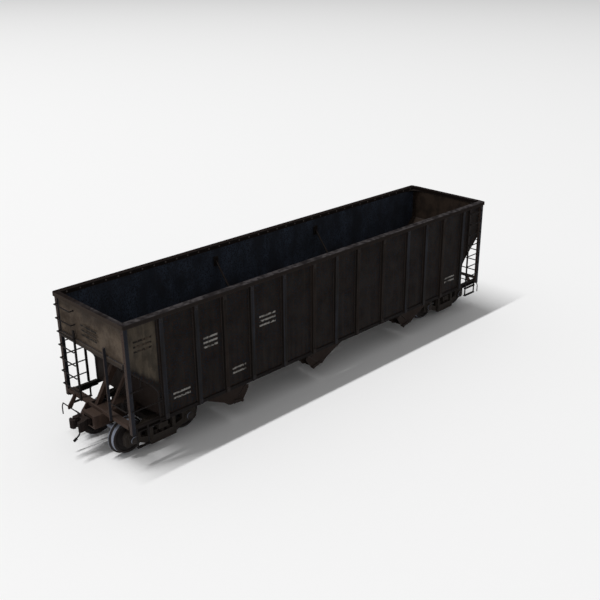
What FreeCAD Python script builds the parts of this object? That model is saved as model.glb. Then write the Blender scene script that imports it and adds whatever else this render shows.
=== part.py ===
import FreeCAD, Part
import math
import os

# Open-top three-bay hopper car for HO railways, 1:87.1, in millimetres.
# +X runs along the car towards the hand-brake end (end B), -X towards end A.
# Heights in this file are measured above the rail head, the bottom of the
# wheel treads. Every shape is lifted by FLANGE_DEPTH when it is written, so
# that Z = 0 of the files is the bottom of the wheel flanges.

V = FreeCAD.Vector

# ---- running gear -------------------------------------------------------
FLANGE_DEPTH = 0.6
WHEEL_RADIUS = 5.25
TRUCK_X = 70.2            # truck centre from the middle of the car
AXLE_OFFSET = 10.2        # axle from the truck centre
WHEEL_INNER_Y = 7.25      # 14.5 mm back to back, for 16.5 mm track
WHEEL_OUTER_Y = 9.4
AXLE_SEAT_RADIUS = 1.0
JOURNAL_RADIUS = 0.60
JOURNAL_BORE = 0.66
FRAME_INNER_Y = 10.3      # side frame, inner and outer face
FRAME_OUTER_Y = 12.2
FRAME_BOTTOM = 1.5
TRUCK_BOLSTER_TOP = 7.4
KINGPIN_RADIUS = 0.6

# ---- body shell ---------------------------------------------------------
SHEET = 0.5               # thickness of all sheets
SHEET_Y = 16.95           # outer face of the side sheets
INSIDE_Y = SHEET_Y - SHEET
END_X = 84.0              # outer face of the end sheets
RIM_X = 84.9              # top chord, outer faces
RIM_Y = 18.5
RIM_INNER_Y = 16.3
RIM_TOP = 44.9
RIM_BOTTOM = 43.6
POST_FACE_Y = 17.9
POST_HALF_FACE = 0.68
POST_HALF_FOOT = 1.1
POST_FOOT = 11.15         # lower end of the posts
POST_SPACING = (0.0, 10.8, 24.3, 37.95, 48.8, 59.45, 71.9)
SILL_BOTTOM = 10.95       # side sill
SILL_TOP = 12.0
SILL_Y = 17.45
CHANNEL_LOW = 10.6        # sill channel along the open end bays
CHANNEL_HIGH = 12.2
PANEL_X = 73.9            # the side sheets reach down to the sill inside this
END_SHEET_BOTTOM = 31.0

# ---- floor sheets, top surfaces as (x, height) -------------------------
SLOPE_TOP = (83.5, 31.9)
SLOPE_KINK = (74.0, 21.6)
RIDGE_X = 24.3
RIDGE_TOP = 18.4
BRACE_RADIUS = 0.3
BAY_APEX = {"a": -47.0, "mid": -6.6, "b": 41.8}
BAY_FACES = {"a": 1, "mid": -1, "b": -1}      # +X or -X side that holds the door
LIP_START = (-1.9, 7.4)   # bay coordinates: u towards the door, height
LIP_END = (-0.6, 6.0)
LIP_TOE = (0.6, 5.75)     # end of the lip, just short of the closed door
HINGE = (6.6, 10.45)      # door hinge in bay coordinates
RIDGE_FOOT = (7.4, 11.75)
RIDGE_TOE = (5.8, 11.75)  # level end of the ridge, over the hinge
HINGE_ROD_RADIUS = 0.22
HINGE_BORE = 0.28
LATCH = (4.0, 5.95)       # latch shaft in bay coordinates
LATCH_RADIUS = 0.26
LATCH_BORE = 0.32

# ---- centre sill and couplers ------------------------------------------
SILL_HALF = 1.9
DRAFT_HALF = 2.9
CENTRE_BOTTOM = 8.2
CENTRE_TOP = 11.95
STRIKER_X = 87.7
DRAFT_START_X = 73.5
POCKET_BACK_X = 79.0
POCKET_HALF = 2.2
POCKET_TOP = 11.3
COUPLER_PIVOT_X = 81.8
COUPLER_POST_RADIUS = 0.7
COUPLER_BORE = 0.76
COVER_SCREWS = [(-78.2, 0), (-86.4, 2.55)]    # at end A
COVER_SCREW_RADIUS = 0.22
KNUCKLE_PIVOT = (90.9, 1.5)   # outward distance, distance to the right
KNUCKLE_PIN_RADIUS = 0.30
KNUCKLE_BORE = 0.36
HEAD_LOW = 8.7
HEAD_HIGH = 11.9

# ---- end framing --------------------------------------------------------
END_SILL_BOTTOM = 12.0
END_SILL_TOP = 13.1
END_SILL_FACE = 84.5
CORNER_X = 84.35          # corner posts, outer faces
CORNER_Y = 17.95
POST_OUT_X = 84.9
END_POST_Y = (7.35, 8.25)
END_POST_TOP = 35.2
SIDE_STILE_FOOT = 24.2    # the side ladder's inner stile is bolted to the sheet above this
SIDE_STILE_TOP = 26.5
LADDER_Y = 8.4            # inner stile of the end ladder
LADDER_X = 76.4           # inner stile of the side ladder
RUNGS = [15.2 + 4.35 * i for i in range(7)]
WIRE = 0.2                # radius of rungs and grab irons
LEVER_X = 86.9
LEVER_Z = 9.2
LEVER_RADIUS = 0.18
LEVER_EYE_Z = 12.65
BRAKE_WHEEL_RADIUS = 3.2
BRAKE_WHEEL_Y = -4.0
BRAKE_WHEEL_Z = 25.5
BRAKE_SHAFT_RADIUS = 0.35


# ---- helpers ------------------------------------------------------------
def block(x0, x1, y0, y1, z0, z1):
    return Part.makeBox(x1 - x0, y1 - y0, z1 - z0, V(x0, y0, z0))


def prism(points, step):
    wire = Part.makePolygon(points + [points[0]])
    return Part.Face(wire).extrude(step)


def side_plate(outline, y0, y1):
    """Extrude an (x, z) outline from y0 to y1."""
    return prism([V(x, y0, z) for x, z in outline], V(0, y1 - y0, 0))


def cross_plate(outline, x0, x1):
    """Extrude a (y, z) outline from x0 to x1."""
    return prism([V(x0, y, z) for y, z in outline], V(x1 - x0, 0, 0))


def flat_plate(outline, z0, z1):
    """Extrude an (x, y) outline from z0 to z1."""
    return prism([V(x, y, z0) for x, y in outline], V(0, 0, z1 - z0))


def rod(start, end, radius):
    start = V(*start)
    along = V(*end) - start
    return Part.makeCylinder(radius, along.Length, start, along)


def fused(shapes):
    whole = shapes[0].multiFuse(shapes[1:]) if len(shapes) > 1 else shapes[0]
    return whole.removeSplitter()


def bent_rod(points, radius):
    pieces = [rod(a, b, radius) for a, b in zip(points, points[1:])]
    pieces += [Part.makeSphere(radius, V(*p)) for p in points[1:-1]]
    return fused(pieces)


def turned(profile, x, z):
    """Revolve a (radius, y) profile about the Y line through (x, z)."""
    points = [V(x, y, z + radius) for radius, y in profile]
    wire = Part.makePolygon(points + [points[0]])
    return Part.Face(wire).revolve(V(x, 0, z), V(0, 1, 0), 360)


def mirrored_y(shape):
    return shape.mirror(V(0, 0, 0), V(0, 1, 0))


def mirrored_x(shape):
    return shape.mirror(V(0, 0, 0), V(1, 0, 0))


def other_end(shape):
    """The same piece at end B: the car turned by half a turn."""
    turned_shape = shape.copy()
    turned_shape.rotate(V(0, 0, 0), V(0, 0, 1), 180)
    return turned_shape


def both_sides(shapes):
    return shapes + [mirrored_y(s) for s in shapes]


def both_ends(shapes):
    return shapes + [other_end(s) for s in shapes]


def all_corners(shapes):
    return both_ends(both_sides(shapes))


# ---- body: sides --------------------------------------------------------
# Lower edge of a side sheet at the end: just under the slope sheet, then the
# upright edge of the open end bay.
SIDE_END_EDGE = [(END_X, RIM_BOTTOM), (END_X, 30.9), (76.0, 23.3), (74.3, 21.0), (PANEL_X, 20.0),
                 (PANEL_X, SILL_BOTTOM)]


def side_sheet():
    outline = [(-x, z) for x, z in SIDE_END_EDGE] + SIDE_END_EDGE[::-1]
    return side_plate(outline, -SHEET_Y, -INSIDE_Y)


def side_post(x):
    """Hat section with a narrow foot flange on both sides."""
    flange_y = SHEET_Y + 0.17
    half = [(POST_HALF_FOOT, SHEET_Y), (POST_HALF_FOOT, flange_y), (POST_HALF_FACE + 0.12, flange_y),
            (POST_HALF_FACE, POST_FACE_Y)]
    outline = [(-dx, y) for dx, y in half] + half[::-1]
    return flat_plate([(x + dx, -y) for dx, y in outline], POST_FOOT, RIM_BOTTOM)


def side_posts():
    places = sorted({s * x for x in POST_SPACING for s in (-1, 1)})
    return [side_post(x) for x in places]


def side_sill():
    """Angle under the side sheet, deeper where it closes the open end bays."""
    middle = block(-PANEL_X, PANEL_X, -SILL_Y, -SHEET_Y, SILL_BOTTOM, SILL_TOP)
    reach = END_X - PANEL_X
    web_y = INSIDE_Y + 0.2
    channel = block(-END_X, -END_X + reach, -SILL_Y, -INSIDE_Y + 0.2, CHANNEL_LOW, CHANNEL_HIGH)
    channel = channel.cut(block(-END_X, -PANEL_X - 0.4, -SILL_Y - 1, -web_y,
                                CHANNEL_LOW + 0.3, CHANNEL_HIGH - 0.3))
    whole = fused([middle, channel, mirrored_x(channel)])
    for post in side_posts():
        whole = whole.cut(post)
    return whole


def top_chord():
    bar = block(-RIM_X, RIM_X, -RIM_Y, -RIM_INNER_Y, RIM_BOTTOM, RIM_TOP)
    corners = [e for e in bar.Edges
               if abs(e.tangentAt(e.FirstParameter).z) > 0.9 and e.CenterOfMass.y < -RIM_Y + 0.1]
    bar = bar.makeFillet(0.9, corners)
    top_edges = [e for e in bar.Edges
                 if abs(e.CenterOfMass.z - RIM_TOP) < 1e-3 and abs(e.CenterOfMass.y) > 17]
    bar = bar.makeFillet(0.22, top_edges)
    end_bar = block(-RIM_X, -END_X + SHEET + 0.2, -RIM_INNER_Y, RIM_INNER_Y, RIM_BOTTOM, RIM_TOP)
    return both_sides([bar]) + both_ends([end_bar])


# ---- body: ends and floor ----------------------------------------------
def end_sheet():
    sheet = block(-END_X, -END_X + SHEET, -INSIDE_Y, INSIDE_Y, END_SHEET_BOTTOM, RIM_BOTTOM)
    angle = block(-END_X - 0.5, -END_X, -INSIDE_Y + 0.3, INSIDE_Y - 0.3,
                  END_SHEET_BOTTOM, END_SHEET_BOTTOM + 1.5)
    return fused([sheet, angle])


def folded_sheet(path):
    """Sheet whose top surface follows an (x, z) path, SHEET thick below it."""
    below = []
    for i, (x, z) in enumerate(path):
        before = path[max(i - 1, 0)]
        after = path[min(i + 1, len(path) - 1)]
        length = math.hypot(after[0] - before[0], after[1] - before[1])
        nx = (after[1] - before[1]) / length
        nz = -(after[0] - before[0]) / length
        turn = 1 if nz < 0 else -1
        below.append((x + turn * nx * SHEET, z + turn * nz * SHEET))
    outline = list(path) + below[::-1]
    return side_plate(outline, -INSIDE_Y + 0.05, INSIDE_Y - 0.05)


def bay_point(bay, point):
    """Bay coordinates (towards the door, height) to car (x, height)."""
    return (BAY_APEX[bay] + BAY_FACES[bay] * point[0], point[1])


def bay_lip(bay):
    return [bay_point(bay, LIP_START), bay_point(bay, LIP_END), bay_point(bay, LIP_TOE)]


def ridge_foot(bay):
    return [bay_point(bay, RIDGE_FOOT), bay_point(bay, RIDGE_TOE)]


SLOPE_PATHS = {
    "a": [(-SLOPE_TOP[0], SLOPE_TOP[1]), (-SLOPE_KINK[0], SLOPE_KINK[1])] + bay_lip("a"),
    "b": [SLOPE_TOP, SLOPE_KINK] + bay_lip("b"),
}
RIDGE_PATHS = [
    [(-RIDGE_X, RIDGE_TOP)] + ridge_foot("a"),
    [(-RIDGE_X, RIDGE_TOP)] + ridge_foot("mid"),
    [(RIDGE_X, RIDGE_TOP)] + bay_lip("mid"),
    [(RIDGE_X, RIDGE_TOP)] + ridge_foot("b"),
]
SILL_CLEARANCE = [(-2.8, 0), (-2.8, 12.0), (0, 15.2), (2.8, 12.0), (2.8, 0)]


def notched(sheet):
    """Room for the centre sill and its hood where a sheet crosses them."""
    return sheet.cut(cross_plate(SILL_CLEARANCE, -70, 70))


def slope_sheets():
    inside = block(-END_X + SHEET, END_X - SHEET, -20, 20, 0, 40)
    return [notched(folded_sheet(SLOPE_PATHS[end])).common(inside) for end in ("a", "b")]


def cross_ridges():
    sheets = [notched(folded_sheet(path)) for path in RIDGE_PATHS]
    return [sheets[0], sheets[1].cut(sheets[0]), sheets[2], sheets[3].cut(sheets[2])]


def sill_hood():
    """Roof plate over the centre sill, trimmed to the floor on both sides."""
    roof = cross_plate([(-2.75, 12.0), (0, 15.15), (2.75, 12.0),
                        (2.3, 12.0), (0, 14.6), (-2.3, 12.0)], -66, 66)
    for path in list(SLOPE_PATHS.values()) + RIDGE_PATHS:
        lift = 0.05
        xs = [p[0] for p in path]
        ground = [(x, z + lift) for x, z in path] + [(xs[-1], 0), (xs[0], 0)]
        roof = roof.cut(side_plate(ground, -5, 5))
    return roof.Solids


def hopper_bay(bay):
    """Chute sides, the partitions beside the sill and the door hinge rod."""
    outline = [bay_point(bay, p) for p in (
        (-10.3, SILL_BOTTOM), (-1.75, 6.85), (-0.45, 5.7), (0.55, 5.7), (5.7, SILL_BOTTOM))]
    outer = side_plate(outline, -SHEET_Y, -INSIDE_Y)
    inner_outline = [bay_point(bay, p) for p in (
        (-11.9, 11.9), (-1.75, 6.85), (-0.45, 5.7), (0.55, 5.7), (5.7, SILL_BOTTOM), (5.7, 11.9))]
    inner = side_plate(inner_outline, -2.75, -2.35)
    hx, hz = bay_point(bay, HINGE)
    hangers = [block(hx - 0.4, hx + 0.4, y - 0.25, y + 0.25, hz - 0.3, SILL_BOTTOM + 0.25)
               for y in (3.35, 9.7, 16.1)]
    hinge_rod = rod((hx, 3.0, hz), (hx, 16.6, hz), HINGE_ROD_RADIUS)
    rail = fused([hinge_rod] + hangers)
    return both_sides([outer, inner, rail])


def bulkheads():
    """Transverse plate over each truck, closing the space under the slope."""
    outline = [(-INSIDE_Y, 12.6), (-INSIDE_Y, 20.4), (INSIDE_Y, 20.4), (INSIDE_Y, 12.6)]
    plate = cross_plate(outline, -PANEL_X + 0.3, -PANEL_X + 0.7)
    return both_ends([plate])


def body_bolsters():
    """Box across the car on the truck centre, with the centre plate below."""
    outline = [(-16.4, 11.2), (-16.4, 12.55), (16.4, 12.55), (16.4, 11.2), (4.0, 9.2), (-4.0, 9.2)]
    beam = cross_plate(outline, -TRUCK_X - 1.3, -TRUCK_X + 1.7)
    beam = beam.cut(block(-90, -60, -SILL_HALF, SILL_HALF, CENTRE_BOTTOM, CENTRE_TOP))
    core = block(-TRUCK_X - 1.5, -TRUCK_X + 1.5, -SILL_HALF + 0.5, SILL_HALF - 0.5,
                 CENTRE_BOTTOM, CENTRE_TOP - 0.55)
    plate = rod((-TRUCK_X, 0, 7.85), (-TRUCK_X, 0, CENTRE_BOTTOM), 2.2)
    core = fused([core, plate]).cut(rod((-TRUCK_X, 0, 7), (-TRUCK_X, 0, 11), KINGPIN_RADIUS))
    return both_ends(beam.Solids + [core])


def centre_sill():
    """Inverted channel between the trucks, wide draft sills at the ends."""
    channel = block(-DRAFT_START_X, DRAFT_START_X, -SILL_HALF, SILL_HALF, CENTRE_BOTTOM, CENTRE_TOP)
    channel = channel.cut(block(-DRAFT_START_X, DRAFT_START_X, -SILL_HALF + 0.5, SILL_HALF - 0.5,
                                CENTRE_BOTTOM - 1, CENTRE_TOP - 0.55))
    draft = block(-STRIKER_X, -DRAFT_START_X, -DRAFT_HALF, DRAFT_HALF, CENTRE_BOTTOM + 0.1, CENTRE_TOP)
    pocket = block(-STRIKER_X - 1, -POCKET_BACK_X, -POCKET_HALF, POCKET_HALF,
                   CENTRE_BOTTOM, POCKET_TOP)
    striker = block(-STRIKER_X, -STRIKER_X + 0.8, -DRAFT_HALF - 0.4, DRAFT_HALF + 0.4,
                    CENTRE_BOTTOM + 0.1, CENTRE_TOP + 0.35)
    draft = fused([draft, striker]).cut(pocket)
    return fused([channel] + both_ends([draft]))


def draft_covers():
    """Plate that closes each coupler pocket, with the coupler's pivot post."""
    plate = block(-STRIKER_X + 0.2, -POCKET_BACK_X + 1.5, -DRAFT_HALF, DRAFT_HALF,
                  CENTRE_BOTTOM - 0.4, CENTRE_BOTTOM + 0.1)
    post = rod((-COUPLER_PIVOT_X, 0, CENTRE_BOTTOM), (-COUPLER_PIVOT_X, 0, POCKET_TOP),
               COUPLER_POST_RADIUS)
    cover = fused([plate, post])
    for x, y in COVER_SCREWS:
        cover = cover.cut(rod((x, y, CENTRE_BOTTOM - 1), (x, y, CENTRE_BOTTOM + 1), COVER_SCREW_RADIUS))
    return both_ends([cover])


# ---- end framing --------------------------------------------------------
def lever_bracket(y):
    """Gusset that hangs forward and down from the end sill to the lever."""
    foot = END_X + 0.2
    outline = [(-foot, END_SILL_TOP - 0.2), (-END_SILL_FACE - 0.5, END_SILL_TOP - 0.2),
               (-LEVER_X - 0.5, LEVER_Z + 0.5), (-LEVER_X - 0.5, LEVER_Z - 0.5),
               (-LEVER_X + 0.6, LEVER_Z - 0.5), (-foot, END_SILL_BOTTOM)]
    bore = rod((-LEVER_X, y - 1, LEVER_Z), (-LEVER_X, y + 1, LEVER_Z), LEVER_RADIUS + 0.06)
    return side_plate(outline, y - 0.25, y + 0.25).cut(bore)


def end_sills():
    reach = 16.2
    face = block(-END_SILL_FACE, -END_X, -reach, reach, END_SILL_BOTTOM, END_SILL_TOP)
    ledge = block(-END_X, -82.4, -reach, reach, END_SILL_TOP - 0.25, END_SILL_TOP)
    sill = fused([face, ledge, lever_bracket(5.0), lever_bracket(12.0)])
    sill = sill.cut(block(-90, -80, -DRAFT_HALF, DRAFT_HALF, 8, CENTRE_TOP))
    sill = sill.cut(block(-END_X, -80, -4.05, 4.05, CENTRE_TOP, END_SILL_TOP + 1))
    return both_ends([sill])


def corner_posts():
    inner_y = CORNER_Y - 1.25
    inner_x = CORNER_X - 1.25
    outline = [(-CORNER_X, -CORNER_Y), (-inner_x, -CORNER_Y), (-inner_x, -SHEET_Y), (-END_X, -SHEET_Y),
               (-END_X, -inner_y), (-CORNER_X, -inner_y)]
    post = flat_plate(outline, CHANNEL_LOW, RIM_BOTTOM)
    sill_room = block(-END_X, -PANEL_X, -SILL_Y, -10, CHANNEL_LOW, CHANNEL_HIGH)
    return all_corners([post.cut(sill_room)])


def end_posts():
    """Channel between the end sill and the end sheet, on the clear side."""
    inner, outer = END_POST_Y
    web = block(-POST_OUT_X, -END_SILL_FACE, -outer, -inner, END_SILL_BOTTOM, END_POST_TOP)
    leg = block(-POST_OUT_X - 0.5, -POST_OUT_X, -outer, -outer + 0.3, END_SILL_BOTTOM, END_POST_TOP)
    return both_ends([fused([web, leg])])


def end_struts():
    """Diagonals from the draft sill up to the underside of the slope."""
    kink_x, kink_z = SLOPE_KINK
    top_x, top_z = SLOPE_TOP
    drop = 1.0
    above = [(-top_x - 3, top_z - drop + 3.6), (-kink_x, kink_z - drop), (-60, 13), (-60, 60),
             (-top_x - 3, 60)]
    wide = side_plate([(-83.0, CENTRE_TOP), (-81.4, CENTRE_TOP), (-74.4, 22.0), (-76.0, 23.6)],
                      2.6, 4.0)
    wide = wide.cut(side_plate([(-82.75, CENTRE_TOP - 1), (-81.9, CENTRE_TOP + 0.2), (-75, 22.1),
                                (-75.6, 23.5)], 3.0, 5.0))
    slim = side_plate([(-82.3, CENTRE_TOP), (-81.5, CENTRE_TOP), (-75.3, 21.8), (-76.1, 22.1)],
                      -3.5, -2.7)
    keep_out = side_plate(above, -6, 6)
    return both_ends([wide.cut(keep_out).Solids[0], slim.cut(keep_out).Solids[0]])


def ladders():
    """Side and end ladders at two opposite corners, with their inner stiles."""
    stile_y = SILL_Y + 0.3
    side_stile = fused([
        block(-LADDER_X - 0.4, -LADDER_X + 0.4, SILL_Y, stile_y, CHANNEL_HIGH + 0.1, SIDE_STILE_TOP),
        block(-LADDER_X - 0.4, -LADDER_X + 0.4, SHEET_Y, stile_y, SIDE_STILE_FOOT, SIDE_STILE_TOP)])
    end_stile = block(-POST_OUT_X, -END_SILL_FACE, LADDER_Y - 0.4, LADDER_Y + 0.4,
                      END_SILL_BOTTOM, END_POST_TOP)
    pieces = [side_stile, end_stile]
    out_y = SILL_Y + 0.72
    out_x = POST_OUT_X + 0.45
    for z in RUNGS:
        rest_y = stile_y if z < SIDE_STILE_TOP else SHEET_Y
        rest_x = POST_OUT_X if z < END_POST_TOP else END_X
        pieces.append(bent_rod([(-83.7, CORNER_Y, z), (-83.7, out_y, z), (-LADDER_X, out_y, z),
                                (-LADDER_X, rest_y, z)], WIRE))
        pieces.append(bent_rod([(-CORNER_X, 16.9, z), (-out_x, 16.9, z), (-out_x, LADDER_Y, z),
                                (-rest_x, LADDER_Y, z)], WIRE))
    return both_ends(pieces)


def grab_irons():
    """Bent wire handholds at the corners that have no ladder."""
    radius = WIRE - 0.02
    out_y = -CORNER_Y - 0.25
    outer_x = -83.7
    high, low = 24.2, 18.2
    short_x = -79.9
    sheet_x = -PANEL_X + 0.4
    rest_y = -SHEET_Y - radius
    upper = [(outer_x, -CORNER_Y, high), (outer_x, out_y, high), (short_x, out_y, high),
             (short_x, rest_y, high), (short_x, rest_y, high + 2.7)]
    lower = [(outer_x, -CORNER_Y, low), (outer_x, out_y, low), (sheet_x, out_y, low),
             (sheet_x, -SHEET_Y, low)]
    front_x = -POST_OUT_X - 0.25
    across = [(-CORNER_X, -16.95, low), (front_x, -16.95, low), (front_x, -END_POST_Y[1], low)]
    return both_ends([bent_rod(route, radius) for route in (upper, lower, across)])


def stirrup(x0, x1, y, top, treads):
    thick = 0.3
    width = 0.5
    legs = [block(x - width / 2, x + width / 2, y, y + thick, treads[0], top) for x in (x0, x1)]
    rungs = [block(x0 - width / 2, x1 + width / 2, y - 0.35, y + thick + 0.3, z, z + 0.3)
             for z in treads]
    return fused(legs + rungs)


def step_irons():
    ladder_step = stirrup(-82.2, -76.2, SILL_Y, CHANNEL_HIGH, (6.85, 9.9))
    plain_step = mirrored_y(stirrup(-82.6, -78.8, SILL_Y, CHANNEL_HIGH, (5.9,)))
    return both_ends([ladder_step, plain_step])


def cross_braces():
    """Diagonal flats inside the load space, from the walls to the ridges."""
    pieces = []
    for x in (-RIDGE_X, RIDGE_X):
        arm = rod((x, -16.1, 39.4), (x, -1.1, 21.0), BRACE_RADIUS)
        wall = block(x - 0.9, x + 0.9, -INSIDE_Y, -INSIDE_Y + 0.4, 37.6, 40.9)
        pieces += both_sides([fused([arm, wall])])
        pieces.append(block(x - 0.7, x + 0.7, -1.3, 1.3, RIDGE_TOP, 20.8))
    shoes = [p for p in pieces if p.BoundBox.ZMax < 21]
    arms = [p for p in pieces if p.BoundBox.ZMax >= 21]
    return [arm.cut(Part.makeCompound(shoes)) for arm in arms] + shoes


# ---- brake gear on the body --------------------------------------------
def brake_reservoir():
    x0, x1, y, z, radius = 75.4, 82.4, 6.4, 14.9, 1.7
    tank = rod((x0, y, z), (x1, y, z), radius)
    ends = [e for e in tank.Edges if e.Curve.TypeId == "Part::GeomCircle"]
    tank = tank.makeFillet(0.7, ends)
    cradle = [block(x - 0.3, x + 0.3, 1.6, 8.0, CENTRE_TOP, 14.0) for x in (77.0, 79.0)]
    cradle = [c.cut(rod((x0, y, z), (x1, y, z), radius)) for c in cradle]
    return [tank] + cradle


def brake_cylinder():
    x0, x1, y, z = 75.2, 79.6, -6.2, 14.8
    body = fused([rod((x0, y, z), (x1, y, z), 1.45), rod((x0 + 1.2, y, z), (x0 + 1.7, y, z), 1.75)])
    piston = rod((x1, y, z), (83.0, y, z), 0.3)
    seat = block(76.6, 77.4, -7.4, -1.6, CENTRE_TOP, 14.0).cut(body)
    return [fused([body, piston]), seat]


def control_valve():
    """Pipe bracket and the two valve portions, on a stand beside the sill."""
    stand = block(-79.2, -77.0, -7.8, -1.6, CENTRE_TOP, CENTRE_TOP + 0.4)
    core = block(-78.9, -77.3, -7.4, -5.9, CENTRE_TOP + 0.4, 15.4)
    side_bulbs = rod((-80.0, -6.6, 14.2), (-76.2, -6.6, 14.2), 0.75)
    return [fused([stand, core, side_bulbs])]


def brake_pipe():
    """Train pipe along the car, close beside the centre sill in the bays."""
    near = 3.65
    close = (SILL_HALF + 2.35) / 2
    route = [(-86.6, near, 8.75), (-67.5, near, 8.75), (-61.5, close, 8.75),
             (61.5, close, 8.75), (67.5, near, 8.75)]
    crossing = [(72.5, near, 8.5), (75.5, near, 7.25), (80.2, -near, 7.25), (83.0, -near, 8.75),
                (86.6, -near, 8.75)]
    return [bent_rod(route + crossing, 0.19)]


def air_hoses():
    """Angle cock, hose and coupling head beside each coupler."""
    cock = fused([rod((-86.6, 3.65, 8.75), (-87.9, 3.65, 8.75), 0.34),
                  rod((-87.4, 3.65, 8.75), (-87.4, 3.65, 9.5), 0.16)])
    hose = bent_rod([(-87.9, 3.65, 8.75), (-88.3, 3.65, 8.4), (-88.45, 3.65, 7.4), (-88.5, 3.62, 6.2),
                     (-88.8, 3.58, 5.0), (-89.5, 3.5, 3.95), (-90.5, 3.4, 3.35)], 0.24)
    head = rod((-90.3, 3.42, 3.4), (-91.4, 3.3, 2.9), 0.42)
    return both_ends([fused([cock, hose, head])])


def handbrake_stand():
    channel = block(POST_OUT_X - 0.4, POST_OUT_X, BRAKE_WHEEL_Y - 0.7, BRAKE_WHEEL_Y + 0.7, 12.2, 33.0)
    gearbox = block(POST_OUT_X, 86.0, BRAKE_WHEEL_Y - 1.5, BRAKE_WHEEL_Y + 1.5, 23.6, 27.6)
    edges = [e for e in gearbox.Edges if abs(e.tangentAt(e.FirstParameter).x) > 0.9]
    gearbox = gearbox.makeFillet(0.7, edges)
    boss = rod((85.5, BRAKE_WHEEL_Y, BRAKE_WHEEL_Z), (86.2, BRAKE_WHEEL_Y, BRAKE_WHEEL_Z), 0.8)
    chain_rod = rod((85.3, BRAKE_WHEEL_Y - 1.2, 23.7), (85.3, BRAKE_WHEEL_Y - 1.2, 13.3), 0.15)
    stand = fused([channel, gearbox, boss])
    bore = rod((85.4, BRAKE_WHEEL_Y, BRAKE_WHEEL_Z), (87, BRAKE_WHEEL_Y, BRAKE_WHEEL_Z),
               BRAKE_SHAFT_RADIUS + 0.07)
    return [stand.cut(bore), chain_rod.cut(stand)]


def brake_wheel():
    centre = V(86.7, BRAKE_WHEEL_Y, BRAKE_WHEEL_Z)
    rim = Part.makeTorus(BRAKE_WHEEL_RADIUS - 0.25, 0.25, centre, V(1, 0, 0))
    hub = rod((86.35, centre.y, centre.z), (87.0, centre.y, centre.z), 0.75)
    shaft = rod((85.6, centre.y, centre.z), (86.4, centre.y, centre.z), BRAKE_SHAFT_RADIUS)
    spokes = []
    for i in range(5):
        angle = math.radians(72 * i + 18)
        tip = (centre.x, centre.y + (BRAKE_WHEEL_RADIUS - 0.25) * math.cos(angle),
               centre.z + (BRAKE_WHEEL_RADIUS - 0.25) * math.sin(angle))
        spokes.append(rod((centre.x, centre.y, centre.z), tip, 0.2))
    return [fused([rim, hub, shaft] + spokes)]


def screws():
    """Truck screws up through the bolsters, and the coupler cover screws."""
    kingpin = fused([rod((-TRUCK_X, 0, 4.5), (-TRUCK_X, 0, 5.2), 1.15),
                     rod((-TRUCK_X, 0, 5.2), (-TRUCK_X, 0, 11.0), KINGPIN_RADIUS)])
    kingpin = kingpin.cut(block(-TRUCK_X - 1.2, -TRUCK_X + 1.2, -0.12, 0.12, 4.4, 4.75))
    pieces = [kingpin]
    cover_low = CENTRE_BOTTOM - 0.4
    for x, y in COVER_SCREWS:
        pieces.append(fused([rod((x, y, cover_low - 0.3), (x, y, cover_low), 0.45),
                             rod((x, y, cover_low), (x, y, cover_low + 0.5), COVER_SCREW_RADIUS)]))
    return both_ends(pieces)


# ---- couplers -----------------------------------------------------------
def end_a(outline):
    """(outward, rightward) outline to (x, y) at end A."""
    return [(-outward, right) for outward, right in outline]


def coupler():
    """Shank on the pivot post and head with a guard arm and two lugs."""
    shank = block(-88.8, -80.4, -0.9, 0.9, 9.15, 10.95)
    horn = flat_plate(end_a([(88.3, -0.9), (88.3, 0.9), (89.3, 1.9), (89.3, -1.9)]), 8.9, 11.3)
    palm = flat_plate(end_a([(88.9, -1.5), (88.9, 1.4), (89.8, 2.35), (90.2, 2.35), (90.2, -0.6),
                             (90.9, -1.4), (92.3, -1.9), (92.5, -2.5), (92.2, -2.9), (90.8, -2.85),
                             (89.4, -2.2)]), HEAD_LOW, HEAD_HIGH)
    lug = end_a([(90.2, 0.75), (90.2, 2.35), (91.2, 2.4), (91.75, 1.9), (91.75, 1.2), (91.2, 0.75)])
    lugs = [flat_plate(lug, HEAD_LOW, HEAD_LOW + 0.55), flat_plate(lug, HEAD_HIGH - 0.55, HEAD_HIGH)]
    px, py = -KNUCKLE_PIVOT[0], KNUCKLE_PIVOT[1]
    pin = rod((px, py, HEAD_LOW - 0.1), (px, py, HEAD_HIGH + 0.1), KNUCKLE_PIN_RADIUS)
    body = fused([shank, horn, palm] + lugs)
    body = body.cut(rod((px, py, HEAD_LOW + 0.55), (px, py, HEAD_HIGH - 0.55), 1.12))
    body = fused([body, pin])
    return body.cut(rod((-COUPLER_PIVOT_X, 0, 8), (-COUPLER_PIVOT_X, 0, 12), COUPLER_BORE))


def knuckle():
    """Hooked jaw that turns on the pin between the lugs of the head."""
    px, py = -KNUCKLE_PIVOT[0], KNUCKLE_PIVOT[1]
    low = HEAD_LOW + 0.65
    high = HEAD_HIGH - 0.65
    hub = rod((px, py, low), (px, py, high), 0.98)
    web = flat_plate(end_a([(91.0, 2.4), (91.9, 2.45), (92.1, 1.2), (91.2, 0.62)]), low, high)
    nose = flat_plate(end_a([(91.9, 2.45), (92.6, 2.2), (93.0, 1.6), (93.0, 0.9), (92.6, 0.2),
                             (92.0, -0.05), (91.7, 0.35), (92.0, 0.9)]), HEAD_LOW + 0.2,
                      HEAD_HIGH - 0.2)
    jaw = fused([hub, web, nose])
    return jaw.cut(rod((px, py, 8), (px, py, 13), KNUCKLE_BORE))


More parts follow.
